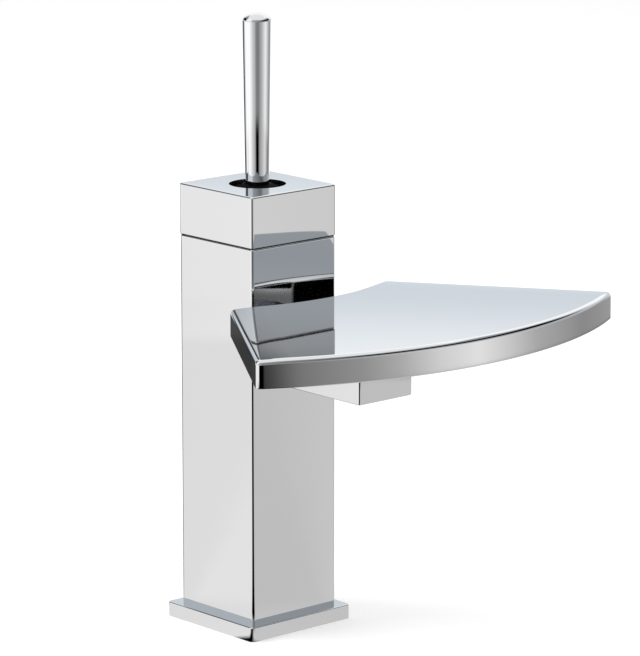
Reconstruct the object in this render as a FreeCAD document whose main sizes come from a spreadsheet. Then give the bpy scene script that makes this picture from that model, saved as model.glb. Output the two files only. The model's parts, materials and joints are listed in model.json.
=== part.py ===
import FreeCAD, Part
import math
import os
import Sketcher
from FreeCAD import Placement, Rotation, Vector

# A single-lever basin tap on a square column. A hollow fan-shaped spout stands off the column on a
# box arm and lets the water fall from a slot under its curved front edge.
# Z is up, the spout points along +X, and the origin is the column's axis on the deck.

doc = FreeCAD.newDocument("BasinTap")
sheet = doc.addObject("Spreadsheet::Sheet", "Sizes")

sizes = {
    # base
    "BaseWidth": 54.0,
    "BaseThickness": 6.0,
    "BaseCorner": 2.0,
    "BaseEdge": 0.5,
    "GasketWidth": 2.6,
    "GasketDepth": 2.0,
    "GasketInset": 2.2,
    "GasketPlay": 0.1,
    # column
    "ColumnWidth": 45.0,
    "ColumnWall": 2.0,
    "ColumnEdge": 1.2,
    "ColumnRim": 0.8,
    "SeamHeight": 161.5,
    "CoreClearance": 0.3,
    # foot block and its inlets
    "FootHeight": 20.0,
    "BossDiameter": 34.4,
    "BossClearance": 0.3,
    "InletDiameter": 10.0,
    "InletDepth": 13.0,
    "PortBack": 5.0,
    "PortSpread": 7.0,
    "StudDiameter": 8.0,
    "StudDepth": 16.0,
    "StudForward": 9.5,
    "PlateScrewPlace": 15.5,
    # small screws
    "ScrewDiameter": 3.0,
    "ScrewHead": 5.5,
    "ScrewHeadHeight": 2.0,
    "ScrewKey": 2.0,
    "ScrewKeyDepth": 1.2,
    "ScrewBite": 7.0,
    "TapRunout": 1.0,
    "ThreadPlay": 0.05,
    "HeadPlay": 0.15,
    # riser tubes
    "TubeDiameter": 8.0,
    "TubeBore": 6.0,
    "TubeGrip": 10.0,
    "SocketPlay": 0.1,
    "RingSection": 1.4,
    "RingPlay": 0.05,
    "RingDepth": 4.0,
    # valve body
    "BodyHeight": 61.5,
    "BodyGap": 0.5,
    "PassageDiameter": 4.6,
    "PassageBack": 4.5,
    "PassageSpread": 5.5,
    "OutletForward": 4.5,
    "OutletDiameter": 6.0,
    # cartridge
    "CartridgeDiameter": 25.0,
    "CartridgePlay": 0.15,
    "CartridgeBase": 6.0,
    "CartridgeWall": 1.3,
    "ShoulderWall": 2.0,
    "CarrierPlay": 0.3,
    "FixedDiscPlay": 0.2,
    "DiscThickness": 3.0,
    "MovingDiscDiameter": 16.4,
    "MixingRecess": 12.8,
    "MixingDepth": 1.5,
    "DiscOffset": 2.8,
    "CarrierThickness": 3.7,
    "SocketDepth": 3.3,
    "BallDiameter": 4.4,
    "BallPlay": 0.2,
    "NeckDiameter": 22.0,
    "NeckAbovePivot": 5.5,
    "RotorDiameter": 19.24,
    "RotorPlay": 0.08,
    "RotorGap": 0.2,
    "RotorLedge": 1.2,
    "ClipThickness": 1.0,
    "ClipOverlap": 1.3,
    "RotorSlotLength": 15.6,
    "StemClearance": 0.2,
    "PinDiameter": 3.0,
    "PinPlay": 0.05,
    "PinInset": 0.5,
    "NutDiameter": 30.0,
    "NutPlay": 0.2,
    "NutRunout": 0.5,
    "NutHex": 28.0,
    "NutHexHeight": 5.5,
    # cap
    "SealThickness": 0.5,
    "SealInset": 0.4,
    "CapWidth": 45.4,
    "CapHeight": 20.8,
    "CapEdge": 0.8,
    "CapRoof": 2.0,
    "CapBore": 34.0,
    "CapHole": 23.2,
    "SpigotDepth": 4.0,
    # lever
    "PivotDepth": 17.8,
    "StemDiameter": 6.0,
    "StemTipDiameter": 3.2,
    "StemTipLength": 8.5,
    "BallDrop": 17.2,
    "BallSink": 0.9,
    "StudThread": 5.0,
    "StudLength": 12.0,
    "DustRadius": 15.3,
    "DustWall": 1.0,
    "DustSpan": 56.0,
    "HubTop": 16.7,
    "HubHeight": 3.2,
    "LeverFoot": 9.7,
    "LeverTip": 11.6,
    "LeverHeight": 70.0,
    "LeverDome": 2.6,
    "LeverRim": 0.8,
    # arm
    "ArmWidth": 28.4,
    "ArmHeight": 24.9,
    "ArmLength": 54.8,
    "ArmEdge": 0.8,
    "ArmRearWall": 6.0,
    "ArmSideWall": 5.0,
    "ArmFrontWall": 4.5,
    "ArmFloor": 3.5,
    "ArmRoof": 4.0,
    "MouthRear": 54.0,
    "MouthLength": 14.0,
    "MouthWidth": 13.0,
    "MouthSealWidth": 2.0,
    "MouthSealThickness": 1.0,
    # hollow bolt that carries the water from the valve body into the arm
    "NippleDrop": 12.2,
    "NippleDiameter": 14.0,
    "NippleBore": 8.0,
    "NippleHead": 16.0,
    "NippleHeadHeight": 4.0,
    "NippleHex": 10.0,
    "NippleHexDepth": 4.0,
    "NipplePlay": 0.2,
    "NippleBite": 8.0,
    "WasherThickness": 1.0,
    "ArmRingDiameter": 19.0,
    "ArmRingSection": 1.3,
    # fan spout
    "FanDrop": 19.4,
    "FanThickness": 11.4,
    "FanRearCorner": 30.9,
    "FanRearHalf": 41.6,
    "FanRearRadius": 90.8,
    "FanFrontCorner": 108.5,
    "FanFrontHalf": 95.4,
    "FanFrontRadius": 179.5,
    "FanCorner": 2.5,
    "FanEdge": 1.9,
    "FanWall": 2.5,
    "FanFloor": 3.0,
    "FanRib": 2.2,
    "FanSealThickness": 1.0,
    "FanPlay": 0.2,
    "OutletSlot": 1.6,
    "CombInset": 30.0,
    "CombThickness": 1.6,
    "CombSlotWidth": 3.0,
    "CombSlotHeight": 2.4,
    "CombSlotPitch": 5.0,
    "FanBoss": 7.0,
    "FanScrewFront": 14.0,
    "FanScrewRear": 11.1,
    "FanScrewInnerAngle": 8.0,
    "FanScrewOuterAngle": 24.0,
    "FanScrewRearAngle": 18.8,
    "FanScrewBite": 3.6,
    "FanTapRunout": 0.5,
    "ArmScrewFirst": 49.5,
    "ArmScrewPitch": 22.5,
}

for row, (name, size) in enumerate(sizes.items(), start=1):
    sheet.set(f"A{row}", name)
    sheet.set(f"B{row}", str(size))
    sheet.setAlias(f"B{row}", name)
doc.recompute()

# places worked out from the sizes, as expressions on the sheet
halfColumn = "Sizes.ColumnWidth / 2"
coreHalf = "(Sizes.ColumnWidth / 2 - Sizes.ColumnWall - Sizes.CoreClearance)"
casingInside = "(Sizes.ColumnWidth / 2 - Sizes.ColumnWall)"
footTop = "(Sizes.BaseThickness + Sizes.FootHeight)"
capBottom = "(Sizes.SeamHeight + Sizes.SealThickness)"
capTop = f"({capBottom} + Sizes.CapHeight)"
pivotHeight = f"({capTop} - Sizes.PivotDepth)"
ballHeight = f"({pivotHeight} - Sizes.BallDrop)"
hubTop = f"({pivotHeight} + Sizes.HubTop)"
carrierTop = f"({ballHeight} + Sizes.BallSink)"
carrierBottom = f"({carrierTop} - Sizes.CarrierThickness)"
movingBottom = f"({carrierBottom} - Sizes.DiscThickness)"
discBottom = f"({movingBottom} - Sizes.DiscThickness)"
seatHeight = f"({discBottom} - Sizes.CartridgeBase)"
housingCeiling = f"({carrierTop} + Sizes.CarrierPlay)"
shoulderHeight = f"({housingCeiling} + Sizes.ShoulderWall)"
neckTop = f"({pivotHeight} + Sizes.NeckAbovePivot)"
rotorBottom = f"({shoulderHeight} + Sizes.RotorGap)"
rotorTop = f"({neckTop} - Sizes.RotorGap)"
bodyTop = f"({capBottom} - Sizes.SpigotDepth - Sizes.BodyGap)"
bodyBottom = f"({bodyTop} - Sizes.BodyHeight)"
fanTop = "(Sizes.SeamHeight - Sizes.FanDrop)"
fanUnder = f"({fanTop} - Sizes.FanThickness)"
floorTop = f"({fanUnder} + Sizes.FanFloor)"
fanCeiling = f"({fanTop} - Sizes.FanWall)"
armBottom = f"({fanUnder} - Sizes.ArmHeight)"
armFront = f"({halfColumn} + Sizes.ArmLength)"
nippleHeight = f"({fanUnder} - Sizes.NippleDrop)"
seatBore = "(Sizes.CartridgeDiameter + 2 * Sizes.CartridgePlay)"
neckBore = "(Sizes.RotorDiameter + 2 * Sizes.RotorPlay)"
cartridgeInside = "(Sizes.CartridgeDiameter - 2 * Sizes.CartridgeWall)"
tubeSocket = "(Sizes.TubeDiameter + 2 * Sizes.SocketPlay)"
tubeRing = "(Sizes.TubeDiameter + Sizes.RingSection + 2 * Sizes.RingPlay)"
nippleHole = "(Sizes.NippleDiameter + 2 * Sizes.NipplePlay)"
frontCentre = "(Sizes.FanFrontCorner - sqrt(Sizes.FanFrontRadius ^ 2 - Sizes.FanFrontHalf ^ 2))"
rearCentre = "(Sizes.FanRearCorner - sqrt(Sizes.FanRearRadius ^ 2 - Sizes.FanRearHalf ^ 2))"
slotRadius = "(Sizes.FanFrontRadius - Sizes.FanWall - Sizes.OutletSlot)"
pinLength = "(Sizes.RotorDiameter - 2 * Sizes.PinInset)"
pinStart = ("0", f"-{pinLength} / 2", pivotHeight)

parts = {}


def keep(node, thing):
    """Give a finished sub-part the name of its file."""
    thing.Label = node
    parts[node] = thing
    return thing


# ---- plain solids and their combinations ----

turned = {
    "Z": Rotation(),
    "-Z": Rotation(Vector(1, 0, 0), 180),
    "X": Rotation(Vector(0, 1, 0), 90),
    "-X": Rotation(Vector(0, 1, 0), -90),
    "Y": Rotation(Vector(1, 0, 0), -90),
}


def placed(thing, at, along="Z"):
    thing.Placement = Placement(Vector(), turned[along])
    for axis, place in zip("xyz", at):
        if place != "0":
            thing.setExpression(f"Placement.Base.{axis}", place)
    return thing


def solid(kind, name, at, along="Z", **measures):
    thing = doc.addObject(f"Part::{kind}", name)
    for measure, expression in measures.items():
        thing.setExpression(measure, expression)
    return placed(thing, at, along)


def rod(name, diameter, length, at, along="Z"):
    return solid("Cylinder", name, at, along, Radius=f"({diameter}) / 2", Height=length)


def block(name, x, y, z):
    """A box between low and high expressions along each axis."""
    spans = dict(zip(("Length", "Width", "Height"), (x, y, z)))
    measures = {side: f"({high}) - ({low})" for side, (low, high) in spans.items()}
    return solid("Box", name, (x[0], y[0], z[0]), **measures)


def both(half):
    return (f"-({half})", half)


def ring(name, middle, section, at, along="Z"):
    return solid("Torus", name, at, along, Radius1=f"({middle}) / 2", Radius2=f"({section}) / 2")


def fused(name, *things):
    thing = doc.addObject("Part::MultiFuse", name)
    thing.Shapes = list(things)
    return thing


def cut(name, base, *tools):
    thing = doc.addObject("Part::Cut", name)
    thing.Base = base
    thing.Tool = tools[0] if len(tools) == 1 else fused(f"{name}Tools", *tools)
    return thing


def shared(name, *things):
    thing = doc.addObject("Part::MultiCommon", name)
    thing.Shapes = list(things)
    return thing


def group(name, things):
    thing = doc.addObject("Part::Compound", name)
    thing.Links = list(things)
    return thing


# ---- bodies, sketches and features ----


TINY = 0.001


def newBody(name):
    return doc.addObject("PartDesign::Body", name)


def sketchOn(body, role, name, offset="0"):
    sketch = body.newObject("Sketcher::SketchObject", name)
    plane = next(item for item in body.Origin.OriginFeatures if item.Role == role)
    sketch.AttachmentSupport = [(plane, "")]
    sketch.MapMode = "FlatFace"
    if offset != "0":
        sketch.setExpression("AttachmentOffset.Base.z", offset)
    return sketch


def bound(sketch, kind, geometry, point, start, expression):
    """Set how far a point lies from the sketch's origin along one axis."""
    index = sketch.addConstraint(Sketcher.Constraint(kind, -1, 1, geometry, point, start))
    sketch.renameConstraint(index, f"size{index}")
    sketch.setExpression(f"Constraints.size{index}", expression)


def pin(sketch, geometry, point, x, y):
    """Hold a point at x, y of the sketch, on an axis where that place is nothing."""
    now = sketch.getPoint(geometry, point)
    if x == "0" and y == "0":
        sketch.addConstraint(Sketcher.Constraint("Coincident", geometry, point, -1, 1))
        return
    if x == "0":
        sketch.addConstraint(Sketcher.Constraint("PointOnObject", geometry, point, -2))
    else:
        bound(sketch, "DistanceX", geometry, point, now.x, x)
    if y == "0":
        sketch.addConstraint(Sketcher.Constraint("PointOnObject", geometry, point, -1))
    else:
        bound(sketch, "DistanceY", geometry, point, now.y, y)


def circle(sketch, diameter, x="0", y="0"):
    disc = sketch.addGeometry(Part.Circle(Vector(1, 1, 0), Vector(0, 0, 1), 2.0))
    index = sketch.addConstraint(Sketcher.Constraint("Radius", disc, 2.0))
    sketch.renameConstraint(index, f"size{index}")
    sketch.setExpression(f"Constraints.size{index}", f"({diameter}) / 2")
    pin(sketch, disc, 3, x, y)


def chain(sketch, corners):
    """Straight sides that meet end to end."""
    lines = []
    for index, corner in enumerate(corners):
        following = corners[(index + 1) % len(corners)]
        lines.append(sketch.addGeometry(Part.LineSegment(corner, following)))
    for index, line in enumerate(lines):
        following = lines[(index + 1) % len(lines)]
        sketch.addConstraint(Sketcher.Constraint("Coincident", line, 2, following, 1))
    return lines


def rectangle(sketch, x, y):
    """An upright rectangle between two places along each axis."""
    lines = chain(sketch, [Vector(1, 1, 0), Vector(3, 1, 0), Vector(3, 2, 0), Vector(1, 2, 0)])
    for index, line in enumerate(lines):
        kind = "Vertical" if index % 2 else "Horizontal"
        sketch.addConstraint(Sketcher.Constraint(kind, line))
    pin(sketch, lines[0], 1, x[0], y[0])
    pin(sketch, lines[2], 1, x[1], y[1])


def square(sketch, half):
    rectangle(sketch, both(half), both(half))


def raised(body, name, sketch, length, down=False):
    made = body.newObject("PartDesign::Pad", name)
    made.Profile = sketch
    made.Reversed = down
    made.setExpression("Length", length)
    return made


def sunk(body, name, sketch, length=None, forward=False):
    """Cut a sketch away against its normal, or along it, or right through both ways."""
    made = body.newObject("PartDesign::Pocket", name)
    made.Profile = sketch
    if length is None:
        made.Type = "ThroughAll"
        made.SideType = "Symmetric"
    else:
        made.Reversed = forward
        made.setExpression("Length", length)
    return made


def turnedSolid(body, name, points):
    """Turn a closed outline, given as radius and height, about the Z axis."""
    sketch = sketchOn(body, "XZ_Plane", f"{name}Outline")
    middle, reach = Vector(20, 20, 0), Vector(9, 0, 0)
    turns = [Rotation(Vector(0, 0, 1), 360 * k / len(points)) for k in range(len(points))]
    for line, (radius, height) in zip(chain(sketch, [middle + turn * reach for turn in turns]), points):
        pin(sketch, line, 1, radius, height)
    return spun(body, name, sketch)


def spun(body, name, sketch):
    made = body.newObject("PartDesign::Revolution", name)
    made.Profile = sketch
    made.ReferenceAxis = (sketch, ["V_Axis"])
    made.Angle = 360.0
    return made


def rounded(body, name, base, radius, chosen):
    """Round the edges of a feature whose bounding box is chosen."""
    doc.recompute()
    edges = [f"Edge{k}" for k, edge in enumerate(base.Shape.Edges, start=1) if chosen(edge.BoundBox)]
    made = body.newObject("PartDesign::Fillet", name)
    made.Base = (base, edges)
    made.setExpression("Radius", radius)
    return made


def upright(box):
    return box.XLength < TINY and box.YLength < TINY


def atTopOf(shape):
    top = shape.BoundBox.ZMax
    return lambda box: box.ZMin > top - TINY


# ---- screws ----


def screw(name, x, y, headBase, up, length):
    """A cap screw: its head stands on headBase, and the shank runs the other way."""
    if up:
        headLow, shankLow = headBase, f"{headBase} - ({length})"
        face, keyWay = f"{headBase} + Sizes.ScrewHeadHeight", "-Z"
    else:
        headLow, shankLow = f"{headBase} - Sizes.ScrewHeadHeight", headBase
        face, keyWay = headLow, "Z"
    head = rod(f"{name}Head", "Sizes.ScrewHead", "Sizes.ScrewHeadHeight", (x, y, headLow))
    shank = rod(f"{name}Shank", "Sizes.ScrewDiameter - 2 * Sizes.ThreadPlay", length, (x, y, shankLow))
    key = solid("Prism", f"{name}Key", (x, y, face), keyWay,
                Circumradius="Sizes.ScrewKey / 2 / cos(30)", Height="Sizes.ScrewKeyDepth")
    return cut(name, fused(f"{name}Blank", head, shank), key)


sides = ("", "-")
plateCorners = [(f"{a}Sizes.PlateScrewPlace", f"{b}Sizes.PlateScrewPlace") for a in sides for b in sides]
portPlaces = [("-Sizes.PortBack", f"{side}Sizes.PortSpread") for side in sides]
passagePlaces = [("-Sizes.PassageBack", f"{side}Sizes.PassageSpread") for side in sides]


# ---- base and column ----


def makeBasePlate():
    body = newBody("BasePlate")
    outline = sketchOn(body, "XY_Plane", "PlateOutline")
    square(outline, "Sizes.BaseWidth / 2")
    plate = raised(body, "Plate", outline, "Sizes.BaseThickness")
    corners = rounded(body, "PlateCorners", plate, "Sizes.BaseCorner", upright)
    doc.recompute()
    rounded(body, "PlateRim", corners, "Sizes.BaseEdge", atTopOf(corners.Shape))
    bore = sketchOn(body, "XY_Plane", "BossOutline")
    circle(bore, "Sizes.BossDiameter + 2 * Sizes.BossClearance")
    for x, y in plateCorners:
        circle(bore, "Sizes.ScrewDiameter + 2 * Sizes.HeadPlay", x, y)
    sunk(body, "BossOpening", bore)
    heads = sketchOn(body, "XY_Plane", "HeadOutline")
    for x, y in plateCorners:
        circle(heads, "Sizes.ScrewHead + 2 * Sizes.HeadPlay", x, y)
    sunk(body, "HeadRecess", heads, "Sizes.ScrewHeadHeight + Sizes.HeadPlay", forward=True)
    groove = sketchOn(body, "XY_Plane", "GrooveOutline")
    square(groove, "Sizes.BaseWidth / 2 - Sizes.GasketInset")
    square(groove, "Sizes.BaseWidth / 2 - Sizes.GasketInset - Sizes.GasketWidth")
    sunk(body, "Groove", groove, "Sizes.GasketDepth", forward=True)
    return keep("base_plate", body)


def makeDeckGasket():
    body = newBody("DeckGasket")
    outline = sketchOn(body, "XY_Plane", "GasketOutline")
    square(outline, "Sizes.BaseWidth / 2 - Sizes.GasketInset - Sizes.GasketPlay")
    square(outline, "Sizes.BaseWidth / 2 - Sizes.GasketInset - Sizes.GasketWidth + Sizes.GasketPlay")
    raised(body, "Gasket", outline, "Sizes.GasketDepth")
    return keep("deck_gasket", body)


def makeFootBlock():
    body = newBody("FootBlock")
    outline = sketchOn(body, "XY_Plane", "FootOutline", "Sizes.BaseThickness")
    square(outline, coreHalf)
    raised(body, "Foot", outline, "Sizes.FootHeight")
    boss = sketchOn(body, "XY_Plane", "FootBossOutline")
    circle(boss, "Sizes.BossDiameter")
    raised(body, "FootBoss", boss, "Sizes.BaseThickness")
    inlets = sketchOn(body, "XY_Plane", "InletOutline")
    passages = sketchOn(body, "XY_Plane", "FootPassageOutline")
    sockets = sketchOn(body, "XY_Plane", "FootSocketOutline", footTop)
    grooves = sketchOn(body, "XY_Plane", "FootGrooveOutline", f"{footTop} - Sizes.RingDepth")
    for x, y in portPlaces:
        circle(inlets, "Sizes.InletDiameter", x, y)
        circle(passages, "Sizes.TubeBore", x, y)
        circle(sockets, tubeSocket, x, y)
        circle(grooves, f"{tubeRing} + Sizes.RingSection", x, y)
    sunk(body, "Inlets", inlets, "Sizes.InletDepth", forward=True)
    sunk(body, "FootPassages", passages)
    sunk(body, "FootSockets", sockets, "Sizes.TubeGrip")
    sunk(body, "FootGrooves", grooves, "Sizes.RingSection + 2 * Sizes.RingPlay")
    stud = sketchOn(body, "XY_Plane", "StudOutline")
    circle(stud, "Sizes.StudDiameter", "Sizes.StudForward", "0")
    sunk(body, "StudHole", stud, "Sizes.StudDepth", forward=True)
    taps = sketchOn(body, "XY_Plane", "FootTapOutline", "Sizes.BaseThickness")
    for x, y in plateCorners:
        circle(taps, "Sizes.ScrewDiameter", x, y)
    sunk(body, "FootTaps", taps, "Sizes.ScrewBite + Sizes.TapRunout", forward=True)
    return keep("foot_block", body)


def makePlateScrews():
    grip = "Sizes.BaseThickness - Sizes.ScrewHeadHeight - Sizes.HeadPlay + Sizes.ScrewBite"
    seat = "(Sizes.ScrewHeadHeight + Sizes.HeadPlay)"
    screws = [screw(f"PlateScrew{k}", x, y, seat, False, grip) for k, (x, y) in enumerate(plateCorners)]
    return keep("base_screws", group("PlateScrews", screws))


def makeCasing():
    body = newBody("Casing")
    outline = sketchOn(body, "XY_Plane", "CasingOutline", "Sizes.BaseThickness")
    square(outline, halfColumn)
    wall = raised(body, "CasingBlock", outline, "Sizes.SeamHeight - Sizes.BaseThickness")
    edges = rounded(body, "CasingEdges", wall, "Sizes.ColumnEdge", upright)
    doc.recompute()
    rounded(body, "CasingRim", edges, "Sizes.ColumnRim", atTopOf(edges.Shape))
    inside = sketchOn(body, "XY_Plane", "CasingInside")
    square(inside, casingInside)
    sunk(body, "CasingHollow", inside)
    port = sketchOn(body, "YZ_Plane", "CasingPort", halfColumn)
    circle(port, nippleHole, "0", nippleHeight)
    sunk(body, "CasingOpening", port, "Sizes.ColumnWall")
    return keep("column_casing", body)


def makeRisers():
    length = f"{bodyBottom} - {footTop} + 2 * Sizes.TubeGrip"
    rings = []
    for side, (x, y) in zip(("cold", "hot"), portPlaces):
        start = (x, y, f"{footTop} - Sizes.TubeGrip")
        outside = rod(f"{side}TubeOutside", "Sizes.TubeDiameter", length, start)
        inside = rod(f"{side}TubeInside", "Sizes.TubeBore", length, start)
        keep(f"riser_tube_{side}", cut(f"{side}Tube", outside, inside))
        half = "(Sizes.RingSection / 2 + Sizes.RingPlay)"
        lower = f"{footTop} - Sizes.RingDepth - {half}"
        upper = f"{bodyBottom} + Sizes.RingDepth + {half}"
        for end, height in (("Lower", lower), ("Upper", upper)):
            rings.append(ring(f"{side}Ring{end}", tubeRing, "Sizes.RingSection", (x, y, height)))
    keep("riser_seals", group("RiserSeals", rings))


def makeValveBody():
    body = newBody("ValveBody")
    outline = sketchOn(body, "XY_Plane", "BodyOutline", bodyBottom)
    rectangle(outline, (f"-{coreHalf}", casingInside), both(coreHalf))
    raised(body, "BodyBlock", outline, "Sizes.BodyHeight")
    seat = sketchOn(body, "XY_Plane", "SeatOutline", bodyTop)
    circle(seat, seatBore)
    sunk(body, "Seat", seat, f"{bodyTop} - {seatHeight}")
    nutThread = sketchOn(body, "XY_Plane", "NutThreadOutline", bodyTop)
    circle(nutThread, "Sizes.NutDiameter")
    sunk(body, "NutThread", nutThread, f"{bodyTop} - {shoulderHeight} + Sizes.NutRunout")
    sockets = sketchOn(body, "XY_Plane", "BodySocketOutline", bodyBottom)
    grooves = sketchOn(body, "XY_Plane", "BodyGrooveOutline", f"{bodyBottom} + Sizes.RingDepth")
    for x, y in portPlaces:
        circle(sockets, tubeSocket, x, y)
        circle(grooves, f"{tubeRing} + Sizes.RingSection", x, y)
    sunk(body, "BodySockets", sockets, "Sizes.TubeGrip", forward=True)
    sunk(body, "BodyGrooves", grooves, "Sizes.RingSection + 2 * Sizes.RingPlay", forward=True)
    passages = sketchOn(body, "XY_Plane", "BodyPassageOutline", seatHeight)
    for x, y in passagePlaces:
        circle(passages, "Sizes.PassageDiameter", x, y)
    sunk(body, "BodyPassages", passages, f"{seatHeight} - {bodyBottom} - Sizes.TubeGrip")
    drop = sketchOn(body, "XY_Plane", "OutletDropOutline", seatHeight)
    circle(drop, "Sizes.OutletDiameter", "Sizes.OutletForward", "0")
    sunk(body, "OutletDrop", drop, f"{seatHeight} - {nippleHeight}")
    sideThread = sketchOn(body, "YZ_Plane", "NippleThreadOutline", casingInside)
    circle(sideThread, "Sizes.NippleDiameter", "0", nippleHeight)
    sunk(body, "NippleThread", sideThread, "Sizes.NippleBite + Sizes.NutRunout")
    run = sketchOn(body, "YZ_Plane", "OutletRunOutline", casingInside)
    circle(run, "Sizes.NippleBore", "0", nippleHeight)
    sunk(body, "OutletRun", run, f"{casingInside} - Sizes.OutletForward + Sizes.OutletDiameter")
    return keep("valve_body", body)


# ---- cartridge ----


def makeCartridge():
    base = rod("BaseBlank", "Sizes.CartridgeDiameter", "Sizes.CartridgeBase", ("0", "0", seatHeight))
    disc = rod("FixedBlank", f"{cartridgeInside} - 2 * Sizes.FixedDiscPlay", "Sizes.DiscThickness",
               ("0", "0", discBottom))
    ports = [(x, y, "Sizes.PassageDiameter") for x, y in passagePlaces]
    ports.append(("Sizes.OutletForward", "0", "Sizes.OutletDiameter"))
    baseHoles, discHoles, rings = [], [], []
    for k, (x, y, bore) in enumerate(ports):
        ringMiddle = f"({bore} + Sizes.RingSection + 2 * Sizes.RingPlay)"
        baseHoles.append(rod(f"BasePort{k}", bore, "Sizes.CartridgeBase", (x, y, seatHeight)))
        baseHoles.append(rod(f"RingSeat{k}", f"{ringMiddle} + Sizes.RingSection + 2 * Sizes.RingPlay",
                             "Sizes.RingSection", (x, y, seatHeight)))
        discHoles.append(rod(f"DiscPort{k}", bore, "Sizes.DiscThickness", (x, y, discBottom)))
        rings.append(ring(f"PortRing{k}", ringMiddle, "Sizes.RingSection",
                          (x, y, f"{seatHeight} + Sizes.RingSection / 2")))
    keep("cartridge_base", cut("CartridgeBasePiece", base, *baseHoles))
    keep("fixed_disc", cut("FixedDisc", disc, *discHoles))
    keep("port_seals", group("PortSeals", rings))

    shell = newBody("CartridgeHousing")
    outside = "Sizes.CartridgeDiameter / 2"
    inside = f"{cartridgeInside} / 2"
    neck = "Sizes.NeckDiameter / 2"
    bore = f"{neckBore} / 2"
    ledge = f"{neckBore} / 2 - Sizes.RotorLedge"
    turnedSolid(shell, "Housing", [
        (outside, discBottom),
        (outside, shoulderHeight),
        (neck, shoulderHeight),
        (neck, neckTop),
        (bore, neckTop),
        (bore, shoulderHeight),
        (ledge, shoulderHeight),
        (ledge, housingCeiling),
        (inside, housingCeiling),
        (inside, discBottom),
    ])
    keep("cartridge_housing", shell)

    clipAt = ("0", "0", neckTop)
    clipOutside = rod("ClipOutside", "Sizes.NeckDiameter", "Sizes.ClipThickness", clipAt)
    clipBore = "Sizes.RotorDiameter - 2 * Sizes.ClipOverlap"
    clipInside = rod("ClipInside", clipBore, "Sizes.ClipThickness", clipAt)
    keep("neck_clip", cut("NeckClip", clipOutside, clipInside))

    nutLength = f"{bodyTop} - {shoulderHeight}"
    nutThread = rod("NutThreadPart", "Sizes.NutDiameter - 2 * Sizes.ThreadPlay", nutLength,
                    ("0", "0", shoulderHeight))
    nutHex = solid("Prism", "NutHexPart", ("0", "0", bodyTop),
                   Circumradius="Sizes.NutHex / 2 / cos(30)", Height="Sizes.NutHexHeight")
    nutBore = rod("NutBore", "Sizes.NeckDiameter + 2 * Sizes.NutPlay", f"{nutLength} + Sizes.NutHexHeight",
                  ("0", "0", shoulderHeight))
    keep("retaining_nut", cut("RetainingNut", fused("NutBlank", nutThread, nutHex), nutBore))


def makeMovingDisc():
    disc = rod("MovingBlank", "Sizes.MovingDiscDiameter", "Sizes.DiscThickness",
               ("Sizes.DiscOffset", "0", movingBottom))
    recess = rod("MixingHollow", "Sizes.MixingRecess", "Sizes.MixingDepth",
                 ("Sizes.DiscOffset", "0", movingBottom))
    keep("moving_disc", cut("MovingDisc", disc, recess))
    carrier = rod("CarrierBlank", "Sizes.MovingDiscDiameter", "Sizes.CarrierThickness",
                  ("Sizes.DiscOffset", "0", carrierBottom))
    socket = rod("CarrierSocket", "Sizes.BallDiameter + 2 * Sizes.BallPlay", "Sizes.SocketDepth",
                 ("0", "0", f"{carrierTop} - Sizes.SocketDepth"))
    keep("disc_carrier", cut("DiscCarrier", carrier, socket))


def makeRotor():
    blank = rod("RotorBlank", "Sizes.RotorDiameter", f"{rotorTop} - {rotorBottom}", ("0", "0", rotorBottom))
    slot = block("RotorSlot", both("Sizes.RotorSlotLength / 2"),
                 both("(Sizes.StemDiameter / 2 + Sizes.StemClearance)"), (rotorBottom, rotorTop))
    hole = rod("RotorPinHole", "Sizes.PinDiameter", pinLength, pinStart, "Y")
    keep("stem_rotor", cut("StemRotor", blank, slot, hole))
    keep("pivot_pin", rod("PivotPin", "Sizes.PinDiameter", pinLength, pinStart, "Y"))


# ---- lever ----


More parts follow.
